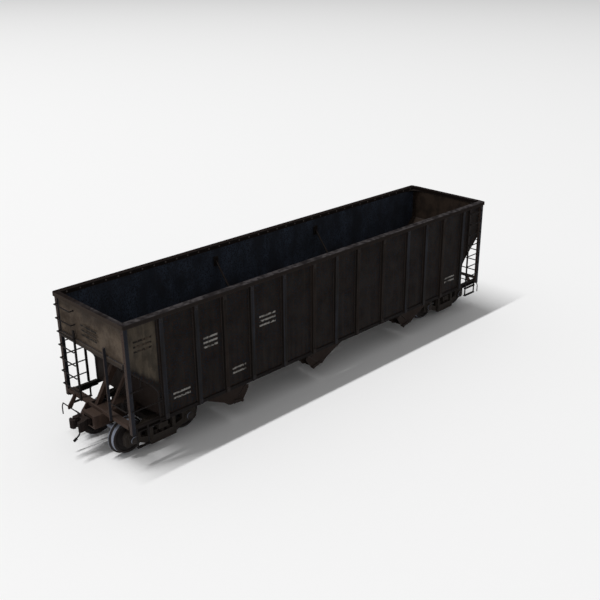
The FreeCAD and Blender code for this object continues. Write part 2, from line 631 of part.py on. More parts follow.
def uncoupling_lever():
    """Shaft across the end with a handle at the corner and an eye over the coupler."""
    handle_y = 15.9
    arm_y = 4.5
    eye_x, eye_y = -90.0, 0.9
    shaft = bent_rod([(eye_x + 0.3, eye_y + 0.1, LEVER_EYE_Z), (-89.2, arm_y - 0.4, LEVER_EYE_Z - 0.6),
                      (-LEVER_X, arm_y, LEVER_Z), (-LEVER_X, handle_y, LEVER_Z),
                      (-LEVER_X - 0.3, handle_y + 0.2, LEVER_Z - 1.2),
                      (-LEVER_X - 0.3, handle_y + 0.2, LEVER_Z - 3.8)], LEVER_RADIUS)
    eye = Part.makeTorus(0.36, 0.15, V(eye_x, eye_y, LEVER_EYE_Z), V(0, 0, 1))
    return fused([shaft, eye])


# ---- hopper doors -------------------------------------------------------
def hopper_door(bay):
    """Pair of doors on one rod, joined by a beam that runs under the sill."""
    hx, hz = bay_point(bay, HINGE)

    def at(points):
        return [bay_point(bay, p) for p in points]

    panel_line = [(0.75, 5.65), (5.75, 10.35)]
    panel = side_plate(at([panel_line[0], panel_line[1], (6.2, 10.1), (1.2, 5.35)]), 2.9, 16.9)
    flange = at([(0.95, 5.5), (6.0, 10.2), (7.2, 10.0), (7.2, 9.2), (4.7, 5.6), (3.6, 5.3), (2.4, 5.3)])
    flanges = [side_plate(flange, y, y + 0.45) for y in (2.9, 7.6, 12.0, 16.45)]
    barrels = [rod((hx, y, hz), (hx, y + 2.4, hz), 0.55) for y in (4.2, 12.6)]
    edge = side_plate(at([(5.3, 9.9), (6.6, 9.95), (6.6, 10.75), (5.75, 10.35)]), 2.9, 16.9)
    leaf = fused([panel, edge] + flanges + barrels)
    hanger_room = [block(hx - 0.7, hx + 0.7, y - 0.45, y + 0.45, hz - 0.65, hz + 2)
                   for y in (3.35, 9.7, 16.1)]
    for room in hanger_room:
        leaf = leaf.cut(room)
    leaf = leaf.cut(rod((hx, 0, hz), (hx, 20, hz), HINGE_BORE))
    lx, lz = bay_point(bay, LATCH)
    leaf = leaf.cut(rod((lx, 0, lz), (lx, 20, lz), LATCH_BORE))
    beam = side_plate(at([(1.6, 5.2), (1.6, 5.75), (2.9, 5.75), (2.9, 5.2)]), -16.4, 16.4)
    return fused([leaf, mirrored_y(leaf), beam])


def door_latch(bay):
    """Latch shaft through the door flanges with a hooked lever at each end."""
    lx, lz = bay_point(bay, LATCH)
    shaft = rod((lx, -17.2, lz), (lx, 17.2, lz), LATCH_RADIUS)
    hook = [bay_point(bay, p) for p in (
        (4.45, 6.3), (4.7, 5.5), (4.2, 5.1), (3.6, 5.5), (1.4, 6.1), (0.6, 6.9), (1.4, 6.75),
        (3.7, 6.4))]
    hooks = both_sides([side_plate(hook, 17.05, 17.4)])
    return fused([shaft] + hooks)


# ---- trucks -------------------------------------------------------------
def at_truck(shape, end):
    moved = shape.copy()
    moved.translate(V(-TRUCK_X if end == "a" else TRUCK_X, 0, 0))
    return moved


def sideframes():
    """Cast frames: outline with a bolster window and two lightening windows."""
    outline = [(-12.9, 3.9), (-12.9, 6.6), (-11.9, 7.9), (-8.6, 8.1), (-5.0, 9.7), (5.0, 9.7),
               (8.6, 8.1), (11.9, 7.9), (12.9, 6.6), (12.9, 3.9), (12.2, 3.3), (11.4, 3.3),
               (11.4, 4.3), (9.0, 4.3), (9.0, 3.3), (7.9, 3.3), (4.6, FRAME_BOTTOM),
               (-4.6, FRAME_BOTTOM), (-7.9, 3.3),
               (-9.0, 3.3), (-9.0, 4.3), (-11.4, 4.3), (-11.4, 3.3), (-12.2, 3.3)]
    plate = side_plate(outline, -FRAME_OUTER_Y + 0.4, -FRAME_INNER_Y - 0.1)
    plate = plate.cut(block(-3.5, 3.5, -13, -10, 2.9, 8.1))
    for s in (-1, 1):
        plate = plate.cut(side_plate([(s * 5.0, 4.2), (s * 5.0, 7.9), (s * 6.0, 7.9), (s * 7.7, 7.0),
                                      (s * 7.7, 5.0)], -13, -10))
    arch = side_plate([(-8.6, 8.1), (-5.0, 9.7), (5.0, 9.7), (8.6, 8.1), (8.2, 7.5), (4.7, 8.9),
                       (-4.7, 8.9), (-8.2, 7.5)], -FRAME_OUTER_Y - 0.25, -FRAME_INNER_Y + 0.1)
    seat = side_plate([(-4.6, FRAME_BOTTOM), (4.6, FRAME_BOTTOM), (4.9, 2.9), (-4.9, 2.9)],
                      -FRAME_OUTER_Y - 0.35, -FRAME_INNER_Y + 0.1)
    skirt = side_plate([(-4.6, FRAME_BOTTOM), (4.6, FRAME_BOTTOM), (4.4, 4.2), (-4.4, 4.2)],
                       -FRAME_OUTER_Y - 0.35, -FRAME_OUTER_Y - 0.05)
    columns = [block(s * 4.1 - 0.55, s * 4.1 + 0.55, -FRAME_OUTER_Y - 0.2, -FRAME_INNER_Y + 0.1, 2.5, 9.2)
               for s in (-1, 1)]
    boxes = []
    for s in (-1, 1):
        x = s * AXLE_OFFSET
        boxes.append(rod((x, -FRAME_OUTER_Y, WHEEL_RADIUS), (x, -FRAME_INNER_Y, WHEEL_RADIUS), 1.65))
        boxes.append(block(x - 1.7, x + 1.7, -FRAME_OUTER_Y + 0.2, -FRAME_INNER_Y, 5.6, 7.6))
    frame = fused([plate, arch, seat, skirt] + columns + boxes)
    for s in (-1, 1):
        x = s * AXLE_OFFSET
        frame = frame.cut(rod((x, -14, WHEEL_RADIUS), (x, -9, WHEEL_RADIUS), JOURNAL_BORE))
    return both_sides([frame])


def truck_bolster():
    outline = [(-12.7, 5.5), (-12.7, 7.2), (-9.0, TRUCK_BOLSTER_TOP), (9.0, TRUCK_BOLSTER_TOP),
               (12.7, 7.2), (12.7, 5.5), (8.5, 5.5), (5.0, 5.35), (-5.0, 5.35), (-8.5, 5.5)]
    beam = cross_plate(outline, -1.7, 1.7)
    bowl = rod((0, 0, 7.0), (0, 0, 7.75), 2.4)
    bearings = [block(-1.2, 1.2, y - 0.8, y + 0.8, 7.2, 7.75) for y in (-7.4, 7.4)]
    beam = fused([beam, bowl] + bearings)
    return [beam.cut(rod((0, 0, 4), (0, 0, 9), KINGPIN_RADIUS + 0.1))]


def truck_springs():
    """Three coil groups under each bolster end, with the coils as grooves."""
    coils = 5
    low, high, radius = 2.9, 5.5, 0.95
    pitch = (high - low) / coils
    profile = [(0, low)]
    for i in range(coils):
        start = low + i * pitch
        profile += [(radius - 0.22, start), (radius, start + 0.3 * pitch),
                    (radius, start + 0.7 * pitch), (radius - 0.22, start + pitch)]
    profile.append((0, high))
    face = Part.Face(Part.makePolygon([V(r, 0, z) for r, z in profile] + [V(0, 0, low)]))
    spring = face.revolve(V(0, 0, 0), V(0, 0, 1), 360)
    pieces = []
    for x in (-2.25, 0, 2.25):
        placed = spring.copy()
        placed.translate(V(x, -(FRAME_INNER_Y + FRAME_OUTER_Y) / 2, 0))
        pieces.append(placed)
    return both_sides(pieces)


def brake_beams():
    """Beam with a curved shoe for each wheel, inboard of both axles."""
    gap = 0.25
    shoe_inner = WHEEL_RADIUS + gap
    shoe_outer = shoe_inner + 0.7
    pieces = []
    for s in (-1, 1):
        axle_x = s * AXLE_OFFSET
        ring = rod((axle_x, -9.2, WHEEL_RADIUS), (axle_x, -8.2, WHEEL_RADIUS), shoe_outer)
        ring = ring.cut(rod((axle_x, -10, WHEEL_RADIUS), (axle_x, -8, WHEEL_RADIUS), shoe_inner))
        near = sorted((s * 3.5, s * 5.2))
        shoe = ring.common(block(near[0], near[1], -10, -8, 3.3, 6.9))
        bar = block(min(s * 3.2, s * 4.05), max(s * 3.2, s * 4.05), -9.2, 9.2, 4.5, 5.2)
        pieces.append(fused([bar, shoe, mirrored_y(shoe)]))
    return pieces


def axle(x):
    profile = [(0, -12.75), (1.15, -12.75), (1.15, -12.35), (JOURNAL_RADIUS, -12.35),
               (JOURNAL_RADIUS, -9.75), (AXLE_SEAT_RADIUS, -9.6), (AXLE_SEAT_RADIUS, -7.1),
               (0.8, -6.6), (0.8, 6.6), (AXLE_SEAT_RADIUS, 7.1), (AXLE_SEAT_RADIUS, 9.6),
               (JOURNAL_RADIUS, 9.75), (JOURNAL_RADIUS, 12.35), (1.15, 12.35), (1.15, 12.75),
               (0, 12.75)]
    return turned(profile, x, WHEEL_RADIUS)


def wheel_pair(x):
    """Rolled wheels: flange, tread, thin dished plate and hub."""
    r = WHEEL_RADIUS
    profile = [(AXLE_SEAT_RADIUS, WHEEL_INNER_Y), (1.8, WHEEL_INNER_Y), (2.1, 7.75), (3.4, 7.95),
               (4.25, 7.55), (4.45, WHEEL_INNER_Y), (r + 0.35, WHEEL_INNER_Y),
               (r + FLANGE_DEPTH, 7.45), (r + FLANGE_DEPTH, 7.65), (r + 0.12, 7.95), (r, 8.15),
               (r - 0.04, WHEEL_OUTER_Y - 0.15), (r - 0.15, WHEEL_OUTER_Y), (4.55, WHEEL_OUTER_Y),
               (4.4, 8.9), (3.4, 8.45), (2.1, 8.6), (1.8, WHEEL_OUTER_Y + 0.15),
               (AXLE_SEAT_RADIUS, WHEEL_OUTER_Y + 0.15)]
    return both_sides([turned(profile, x, r)])


# ---- writing ------------------------------------------------------------
def save(name, shapes):
    if not isinstance(shapes, list):
        shapes = [shapes]
    solids = [solid for shape in shapes for solid in shape.Solids]
    for solid in solids:
        if not solid.isValid() or solid.Volume <= 0:
            raise ValueError(name + " has a bad solid")
    whole = solids[0] if len(solids) == 1 else Part.makeCompound(solids)
    whole = whole.copy()
    whole.translate(V(0, 0, FLANGE_DEPTH))
    whole.exportStep("parts/" + name + ".step")
    box = whole.BoundBox
    print("%-22s %3d solids  x %7.2f %7.2f  y %7.2f %7.2f  z %6.2f %6.2f" % (
        name, len(solids), box.XMin, box.XMax, box.YMin, box.YMax, box.ZMin, box.ZMax))


os.makedirs("parts", exist_ok=True)

save("side_sheet_right", side_sheet())
save("side_sheet_left", mirrored_y(side_sheet()))
save("side_posts_right", side_posts())
save("side_posts_left", [mirrored_y(post) for post in side_posts()])
save("side_sills", both_sides([side_sill()]))
save("top_chord", top_chord())
save("end_sheet_a", end_sheet())
save("end_sheet_b", other_end(end_sheet()))
save("slope_sheets", slope_sheets())
save("cross_ridges", cross_ridges())
save("sill_hood", sill_hood())
for bay_name in BAY_APEX:
    save("hopper_bay_" + bay_name, hopper_bay(bay_name))
    save("door_pair_" + bay_name, hopper_door(bay_name))
    save("door_latch_" + bay_name, door_latch(bay_name))
save("body_bolsters", body_bolsters() + bulkheads())
save("centre_sill", centre_sill())
save("draft_covers", draft_covers())
save("end_sills", end_sills())
save("end_posts", corner_posts() + end_posts())
save("end_struts", end_struts())
save("ladders", ladders())
save("grab_irons", grab_irons())
save("step_irons", step_irons())
save("cross_braces", cross_braces())
save("brake_reservoir", brake_reservoir())
save("brake_cylinder", brake_cylinder())
save("control_valve", control_valve())
save("brake_pipe", brake_pipe())
save("air_hoses", air_hoses())
save("handbrake_stand", handbrake_stand())
save("brake_wheel", brake_wheel())
save("screws", screws())
save("coupler_a", coupler())
save("coupler_b", other_end(coupler()))
save("knuckle_a", knuckle())
save("knuckle_b", other_end(knuckle()))
save("uncoupling_lever_a", uncoupling_lever())
save("uncoupling_lever_b", other_end(uncoupling_lever()))
for end_name in ("a", "b"):
    save("sideframes_" + end_name, [at_truck(s, end_name) for s in sideframes()])
    save("truck_bolster_" + end_name, [at_truck(s, end_name) for s in truck_bolster()])
    save("truck_springs_" + end_name, [at_truck(s, end_name) for s in truck_springs()])
    save("brake_beams_" + end_name, [at_truck(s, end_name) for s in brake_beams()])
    for number, side in ((1, -1), (2, 1)):
        tag = end_name + str(number)
        save("axle_" + tag, at_truck(axle(side * AXLE_OFFSET), end_name))
        save("wheels_" + tag, [at_truck(s, end_name) for s in wheel_pair(side * AXLE_OFFSET)])
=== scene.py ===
import math

import bmesh
import bpy
from mathutils import Matrix, Vector


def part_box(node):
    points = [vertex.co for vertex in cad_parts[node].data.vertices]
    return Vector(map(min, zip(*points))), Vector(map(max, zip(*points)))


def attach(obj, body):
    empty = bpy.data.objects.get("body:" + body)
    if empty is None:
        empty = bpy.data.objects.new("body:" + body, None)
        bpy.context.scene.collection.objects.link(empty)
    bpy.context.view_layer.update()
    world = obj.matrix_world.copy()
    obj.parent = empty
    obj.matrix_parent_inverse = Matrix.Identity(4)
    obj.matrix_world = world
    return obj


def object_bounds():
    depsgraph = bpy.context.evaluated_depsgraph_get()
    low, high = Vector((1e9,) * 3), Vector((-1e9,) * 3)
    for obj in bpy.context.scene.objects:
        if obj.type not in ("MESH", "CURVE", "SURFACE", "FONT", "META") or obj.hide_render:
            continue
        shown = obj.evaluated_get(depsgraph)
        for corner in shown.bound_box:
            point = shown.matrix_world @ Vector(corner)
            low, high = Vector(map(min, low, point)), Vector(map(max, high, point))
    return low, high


# Open-top hopper car for HO railways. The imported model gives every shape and
# place; this script adds materials, small fittings, the floor, light and
# camera. +X is the hand-brake end (end B), -Y the side towards the camera.

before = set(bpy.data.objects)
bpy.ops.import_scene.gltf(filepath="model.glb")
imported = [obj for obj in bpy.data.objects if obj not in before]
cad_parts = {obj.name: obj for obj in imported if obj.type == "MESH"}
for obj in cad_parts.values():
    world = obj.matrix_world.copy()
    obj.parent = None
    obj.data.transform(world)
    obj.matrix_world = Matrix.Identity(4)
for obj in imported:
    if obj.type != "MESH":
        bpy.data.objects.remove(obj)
cad_low, cad_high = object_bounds()

MM = 0.001
FLANGE = 0.6            # the rail head is this far above the floor, in millimetres


def box_mm(node):
    """Lowest and highest corners of a node in millimetres, heights from the rail head."""
    low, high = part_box(node)
    lift = Vector((0, 0, FLANGE))
    return Vector(low) / MM - lift, Vector(high) / MM - lift


def post_places(node, apart=5.0):
    """Middles of one side's posts along the car; corners further apart are of two posts."""
    face = box_mm(node)[0].y
    corners = [corner.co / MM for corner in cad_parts[node].data.vertices]
    spans = []
    for x in sorted(corner.x for corner in corners if abs(corner.y - face) < 0.01):
        if not spans or x - spans[-1][1] > apart:
            spans.append([x, x])
        spans[-1][1] = x
    return [(start + end) / 2 for start, end in spans]


POSTS = post_places("side_posts_right")
BROWN_POSTS = [POSTS[i] for i in (2, 5, 7, 8, 11)]


def rgb(red, green, blue):
    """Linear colour of an 8-bit sRGB one."""
    def linear(value):
        value /= 255.0
        return value / 12.92 if value <= 0.04045 else ((value + 0.055) / 1.055) ** 2.4
    return (linear(red), linear(green), linear(blue), 1.0)


# ---- colours ------------------------------------------------------------
PAINT = rgb(27, 25, 23)
PAINT_LIGHT = rgb(38, 34, 32)
PAINT_DARK = rgb(18, 17, 16)
PAINT_RED = rgb(40, 25, 20)
PAINT_BLUE = rgb(24, 29, 37)
# The posts' blue-grey is a painted reflection of the sky on their faces; their brown is partly painted warm
# light on the flanks.
POST_GREY_SKY_SHEEN = rgb(34, 36, 42)
POST_BROWN = rgb(34, 28, 25)
RUST = rgb(52, 34, 27)
BARE_STEEL = rgb(84, 80, 80)
BEIGE_SIDE = rgb(56, 51, 45)
BEIGE_SIDE_LIGHT = rgb(74, 67, 58)
BEIGE_END = rgb(66, 57, 49)
BEIGE_END_LIGHT = rgb(90, 79, 68)
END_MARKS_AND_SHADE = rgb(50, 44, 40)
INSIDE = rgb(42, 45, 52)
INSIDE_LIGHT = rgb(64, 73, 88)
WALL_LOW = rgb(38, 37, 38)
INSIDE_LOW = rgb(20, 19, 19)
INSIDE_BROWN = rgb(60, 50, 43)
CORNER = rgb(66, 58, 55)
RIM_BOLT = rgb(72, 65, 62)
RIM_END_HIGHLIGHT = rgb(64, 57, 52)
FLOOR_SHEET = rgb(40, 37, 35)
RIM_PAINT = rgb(36, 34, 35)
RIM_WORN_AND_SHEEN = rgb(68, 65, 66)
RIM_FAR = rgb(28, 23, 21)
BAY = rgb(37, 30, 27)
FITTING = rgb(22, 20, 20)
BRACE = rgb(28, 24, 22)
UNDERFRAME = rgb(66, 53, 47)
UNDERFRAME_DUST = rgb(66, 56, 49)
CASTING = rgb(45, 41, 38)
CASTING_DUST = rgb(72, 64, 56)
WHEEL_PLATE = rgb(27, 22, 21)
TREAD_STEEL_AND_SHEEN = rgb(128, 134, 148)
SPRING = rgb(30, 26, 24)
COUPLER = rgb(30, 25, 24)
SCREW = rgb(70, 68, 68)
RUBBER = rgb(26, 27, 31)
STENCIL_PALE = rgb(132, 130, 126)
STENCIL_DARK = rgb(26, 24, 22)
FLOOR = (0.955, 0.955, 0.955, 1.0)


# ---- material building --------------------------------------------------
class Shade:
    """One material's nodes. Places are the car's own, in millimetres."""

    def __init__(self, name, metallic=0.0, specular=0.06):
        self.material = bpy.data.materials.new(name)
        self.material.use_nodes = True
        self.nodes = self.material.node_tree.nodes
        self.links = self.material.node_tree.links
        self.nodes.clear()
        self.surface = self.nodes.new("ShaderNodeBsdfPrincipled")
        self.surface.inputs["Metallic"].default_value = metallic
        self.surface.inputs["Specular IOR Level"].default_value = specular
        output = self.nodes.new("ShaderNodeOutputMaterial")
        self.links.new(self.surface.outputs["BSDF"], output.inputs["Surface"])
        coordinates = self.nodes.new("ShaderNodeTexCoord")
        self.place = self.vector("MULTIPLY", coordinates.outputs["Object"], (1000, 1000, 1000))
        self.x, self.y, self.z = self.split(self.place)
        self.nx, self.ny, self.nz = self.split(coordinates.outputs["Normal"])

    def put(self, socket, value):
        if isinstance(value, bpy.types.NodeSocket):
            self.links.new(value, socket)
        elif socket.type == "VECTOR":
            socket.default_value = value[:3]
        else:
            socket.default_value = value

    def split(self, vector):
        node = self.nodes.new("ShaderNodeSeparateXYZ")
        self.put(node.inputs[0], vector)
        return node.outputs[0], node.outputs[1], node.outputs[2]

    def vector(self, operation, a, b):
        node = self.nodes.new("ShaderNodeVectorMath")
        node.operation = operation
        self.put(node.inputs[0], a)
        self.put(node.inputs[1], b)
        return node.outputs[0]

    def math(self, operation, a, b=0.0):
        node = self.nodes.new("ShaderNodeMath")
        node.operation = operation
        self.put(node.inputs[0], a)
        self.put(node.inputs[1], b)
        return node.outputs[0]

    def step(self, value, low, high, start=0.0, end=1.0):
        """Goes smoothly from start to end as value goes from low to high."""
        node = self.nodes.new("ShaderNodeMapRange")
        node.interpolation_type = "SMOOTHSTEP"
        for socket, number in zip(node.inputs[:5], (value, low, high, start, end)):
            self.put(socket, number)
        return node.outputs[0]

    def both(self, *masks):
        whole = masks[0]
        for mask in masks[1:]:
            whole = self.math("MULTIPLY", whole, mask)
        return whole

    def noise(self, scale, stretch=(1, 1, 1), detail=3.0, offset=0.0):
        """Noise with that many cells a millimetre, stretched along the axes."""
        placed = self.vector("MULTIPLY", self.place, tuple(scale * s for s in stretch))
        placed = self.vector("ADD", placed, (offset, offset * 1.7, offset * 0.6))
        node = self.nodes.new("ShaderNodeTexNoise")
        self.put(node.inputs["Vector"], placed)
        node.inputs["Scale"].default_value = 1.0
        node.inputs["Detail"].default_value = detail
        return node.outputs["Fac"]

    def mix(self, amount, a, b):
        node = self.nodes.new("ShaderNodeMix")
        node.data_type = "RGBA"
        self.put(node.inputs[0], amount)
        self.put(node.inputs[6], a)
        self.put(node.inputs[7], b)
        return node.outputs[2]

    def crevice(self, distance, edge=False):
        """1 where the surface is open within that distance, less in corners."""
        node = self.nodes.new("ShaderNodeAmbientOcclusion")
        node.samples = 4
        node.inside = edge
        node.inputs["Distance"].default_value = distance * MM
        return node.outputs["AO"]

    def bump(self, height, depth):
        node = self.nodes.new("ShaderNodeBump")
        node.inputs["Strength"].default_value = 1.0
        node.inputs["Distance"].default_value = depth * MM
        self.put(node.inputs["Height"], height)
        self.links.new(node.outputs["Normal"], self.surface.inputs["Normal"])

    def weather(self, colour, streak=0.3, rust=0.25, dust=0.25, wear=0.35, rough=0.72,
                dust_colour=UNDERFRAME_DUST, wear_colour=BARE_STEEL, grain=2.2):
        """Rain streaks, rust specks, dust in corners and rubbed edges over a colour."""
        streaks = self.noise(1.0, (1.5, 1.5, 0.07), 4.0, 3.0)
        blotch = self.noise(0.16, detail=3.0, offset=11.0)
        specks = self.noise(grain, detail=4.0, offset=23.0)
        fine = self.noise(grain * 3.5, detail=2.0, offset=31.0)
        colour = self.mix(self.step(streaks, 0.5, 0.78, 0.0, streak), colour,
                          self.vector("MULTIPLY", colour, (1.8, 1.75, 1.7)))
        colour = self.mix(self.step(blotch, 0.45, 0.75, 0.0, streak), colour,
                          self.vector("MULTIPLY", colour, (0.45, 0.43, 0.42)))
        spots = self.both(self.step(specks, 0.52, 0.66), self.step(streaks, 0.35, 0.6))
        colour = self.mix(self.math("MULTIPLY", spots, rust), colour, RUST)
        if dust:
            corner = self.step(self.crevice(1.6), 0.45, 0.95, dust, 0.0)
            ledge = self.step(self.nz, 0.5, 0.95, 0.0, dust)
            settled = self.both(self.math("MAXIMUM", corner, ledge), self.step(blotch, 0.3, 0.6, 0.4, 1.0))
            colour = self.mix(settled, colour, dust_colour)
        if wear:
            rubbed = self.both(self.step(self.crevice(0.35, True), 0.55, 0.9, 1.0, 0.0),
                               self.step(fine, 0.42, 0.6))
            colour = self.mix(self.math("MULTIPLY", rubbed, wear), colour, wear_colour)
        self.put(self.surface.inputs["Base Color"], colour)
        self.put(self.surface.inputs["Roughness"],
                 self.step(self.math("ADD", specks, blotch), 0.7, 1.3, rough - 0.12, rough + 0.14))
        height = self.math("ADD", self.math("MULTIPLY", specks, 0.6), self.math("MULTIPLY", fine, 0.4))
        self.bump(height, 0.05)
        return self.material


def car_side(s):
    """Dark paint outside, blue-black inside, and pale grime on the end A panel."""
    inside = s.step(s.math("MULTIPLY", s.math("SIGN", s.y), s.ny), -0.3, 0.3, 1.0, 0.0)
    streaks = s.noise(1.0, (0.9, 0.9, 0.04), 4.0, 5.0)
    mottle = s.noise(0.5, (1, 1, 0.5), 5.0, 9.0)
    flecks = s.noise(1.7, detail=5.0, offset=14.0)
    cloudy = s.math("ADD", s.math("MULTIPLY", streaks, 0.35), s.math("MULTIPLY", mottle, 0.65))
    outer = s.mix(s.step(cloudy, 0.38, 0.62), PAINT_DARK, PAINT)
    outer = s.mix(s.step(flecks, 0.5, 0.64, 0.0, 0.8), outer, PAINT_RED)
    blue = s.both(s.step(flecks, 0.5, 0.38, 0.0, 1.0), s.step(cloudy, 0.4, 0.6, 1.0, 0.3))
    outer = s.mix(blue, outer, PAINT_BLUE)
    low_grime = s.step(s.z, 12.0, 26.0, 0.45, 0.0)
    outer = s.mix(s.both(low_grime, s.step(streaks, 0.45, 0.6)), outer, PAINT_LIGHT)
    beige = s.mix(s.step(mottle, 0.35, 0.65), BEIGE_SIDE, BEIGE_SIDE_LIGHT)
    # The grime fades out along a soft line above the slope sheet.
    above = s.math("ADD", s.z, s.math("MULTIPLY", s.math("ADD", s.x, 84.35), 0.81))
    above = s.math("ADD", above, s.math("MULTIPLY", mottle, 2.0))
    pale = s.both(s.step(s.x, -73.6, -73.2, 1.0, 0.0), s.step(above, 32.8, 35.0))
    outer = s.mix(pale, outer, beige)
    patches = s.noise(0.16, (1, 1, 0.5), 5.0, 19.0)
    specks = s.noise(3.2, (1, 1, 0.6), 5.0, 21.0)
    inner = s.mix(s.both(s.step(patches, 0.32, 0.7), s.step(specks, 0.38, 0.58)), INSIDE, INSIDE_LIGHT)
    inner = s.mix(s.step(s.math("ADD", s.z, s.math("MULTIPLY", patches, 14.0)), 24.0, 38.0, 0.85, 0.0),
                  inner, WALL_LOW)
    return s.mix(inside, outer, inner)


def car_end(s, sign):
    """End sheet: outside against the weather, inside against the load."""
    inside = s.step(s.math("MULTIPLY", s.nx, sign), -0.3, 0.3, 1.0, 0.0)
    streaks = s.noise(1.0, (0.7, 0.7, 0.05), 4.0, 15.0)
    clouds = s.noise(0.28, detail=6.0, offset=17.0)
    if sign < 0:
        scratches = s.noise(1.0, (0.3, 2.0, 0.9), 3.0, 27.0)
        outer = s.mix(s.step(clouds, 0.36, 0.64), BEIGE_END, BEIGE_END_LIGHT)
        outer = s.mix(s.step(scratches, 0.62, 0.74, 0.0, 0.4), outer, END_MARKS_AND_SHADE)
        # Painted shade: the top of the sheet under the rim, and the flange band along its foot, whose top the
        # lamp lights, are darkened.
        painted_shade_top = s.step(s.z, 39.0, 44.0, 0.0, 0.55)
        outer = s.mix(s.math("MAXIMUM", painted_shade_top, s.step(s.z, 32.2, 33.6, 0.9, 0.0)), outer, END_MARKS_AND_SHADE)
        inner = s.mix(s.step(streaks, 0.45, 0.72), INSIDE, INSIDE_LIGHT)
    else:
        outer = s.mix(s.step(streaks, 0.4, 0.7), PAINT_DARK, PAINT)
        inner = s.mix(s.step(clouds, 0.3, 0.62, 0.45, 1.0), INSIDE_LOW, INSIDE_BROWN)
    return s.mix(inside, outer, inner)


def car_rim(s):
    """Top chord, lighter in patches along the near top, partly rubbed by loading and partly painted sheen;
    darker brown on the far side and at end B, where that painted sheen is left out.
    """
    patches = s.noise(0.22, (1, 1, 1), 4.0, 41.0)
    scuffs = s.noise(1.6, (0.35, 0.35, 1), 4.0, 47.0)
    top = s.step(s.nz, 0.2, 0.8)
    # Pale patches on the near top: partly wear, partly painted sheen.
    worn = s.both(s.step(patches, 0.3, 0.55), s.step(scuffs, 0.35, 0.6), top)
    colour = s.mix(worn, RIM_PAINT, RIM_WORN_AND_SHEEN)
    # Painted reflection: the far top and the ends are painted dark brown, without the near top's sheen.
    far = s.math("MAXIMUM", s.step(s.y, -6.0, 10.0, 0.0, 0.9),
                 s.math("MAXIMUM", s.step(s.x, 83.0, 84.5, 0.0, 0.9), s.step(s.x, -84.5, -83.5, 0.6, 0.0)))
    colour = s.mix(far, colour, RIM_FAR)
    sides = s.step(s.math("ABSOLUTE", s.nz), 0.3, 0.7, 0.85, 0.0)
    # Faces toward the lamp: a painted highlight on end A's end face and painted shade on the inner face at
    # end B.
    lamp_face_light_and_shade = s.mix(s.step(s.x, -10.0, 10.0), RIM_END_HIGHLIGHT, RIM_FAR)
    side_colour = s.mix(s.step(s.nx, -0.9, -0.5, 1.0, 0.0), PAINT_LIGHT, lamp_face_light_and_shade)
    return s.mix(sides, colour, side_colour)


def post_colour(s):
    """Brown webs and flanges, grey faces on most posts and brown on five of them. The blue-grey of the faces
    is a painted reflection of the sky, and the brown of the webs is partly painted warm light on the flanks.
    """
    runs = s.noise(1.0, (1.1, 1.1, 0.05), 4.0, 61.0)
    brown = s.mix(s.step(runs, 0.35, 0.7), POST_BROWN, PAINT_DARK)
    grey = s.mix(s.step(runs, 0.35, 0.65), POST_GREY_SKY_SHEEN, PAINT)
    face = s.step(s.math("ABSOLUTE", s.y), 17.7, 17.85)
    for post_x in BROWN_POSTS:
        gap = s.math("ABSOLUTE", s.math("SUBTRACT", s.x, post_x))
        face = s.math("MULTIPLY", face, s.step(gap, 1.5, 2.0))
    return s.mix(face, brown, grey)


def corner_colour(s):
    """Corner and end posts: rusty pale face to the end, dark face to the side, whose blue-grey is a painted
    reflection of the sky.
    """
    runs = s.noise(1.0, (1.1, 1.1, 0.05), 4.0, 66.0)
    pale = s.mix(s.step(runs, 0.35, 0.7), CORNER, UNDERFRAME)
    return s.mix(s.step(s.math("ABSOLUTE", s.ny), 0.5, 0.8), pale, POST_GREY_SKY_SHEEN)


def load_floor(s):
    """Slope sheets polished and stained by the load sliding down them."""
    streaks = s.noise(1.0, (0.1, 1.2, 0.1), 4.0, 51.0)
    below = s.step(s.nz, -0.1, 0.1, 1.0, 0.0)
    top = s.mix(s.step(streaks, 0.35, 0.7), INSIDE_LOW, FLOOR_SHEET)
    top = s.mix(s.step(s.x, 60.0, 72.0, 0.0, 0.6), top, INSIDE_BROWN)
    return s.mix(below, top, BAY)


def stencil(s, pale):
    """Old stencil paint, half worn off."""
    gaps = s.noise(1.2, detail=5.0, offset=71.0)
    worn = s.noise(0.35, detail=3.0, offset=77.0)
    left = s.both(s.step(gaps, 0.36, 0.5), s.step(worn, 0.35, 0.5, 0.45, 1.0))
    return s.mix(left, PAINT if pale else BEIGE_END, STENCIL_PALE if pale else STENCIL_DARK)


def wheel_steel(s):
    """Dark plate, bright rolled tread and flange; the tread's pale blue-white is partly bright steel and
    partly painted sheen.
    """
    sideways = s.math("ABSOLUTE", s.ny)
    return s.mix(s.step(sideways, 0.15, 0.3), TREAD_STEEL_AND_SHEEN, WHEEL_PLATE)


materials = {}


def material(name, colour, metallic=0.0, specular=0.06, **look):
    s = Shade(name, metallic, specular)
    materials[name] = s.weather(colour(s) if callable(colour) else colour, **look)
    return materials[name]


material("side_paint", car_side, dust=0.1)
material("post_paint", post_colour, streak=0.3, dust=0.15, wear=0.3)
material("end_a_paint", lambda s: car_end(s, -1), dust=0.1, streak=0.2)
material("end_b_paint", lambda s: car_end(s, 1), dust=0.1, streak=0.15)
material("corner_paint", corner_colour, dust=0.1, wear=0.3)
material("rim_bolt", RIM_BOLT, dust=0.0)
material("rim_paint", car_rim, specular=0.0, dust=0.0, rust=0.35, wear=0.25)
material("load_floor", load_floor, dust=0.1)
material("bay_paint", BAY, dust=0.15, streak=0.2)
material("fitting_paint", FITTING, dust=0.15, wear=0.15)
material("brace_paint", BRACE, dust=0.0)
material("underframe", UNDERFRAME, dust=0.4)
material("truck_casting", CASTING, dust=0.4, dust_colour=CASTING_DUST)
material("wheel_steel", wheel_steel, specular=0.3, dust=0.1, wear=0.15)
material("spring_steel", SPRING, dust=0.2)
material("coupler_casting", COUPLER, rust=0.4, dust=0.2)
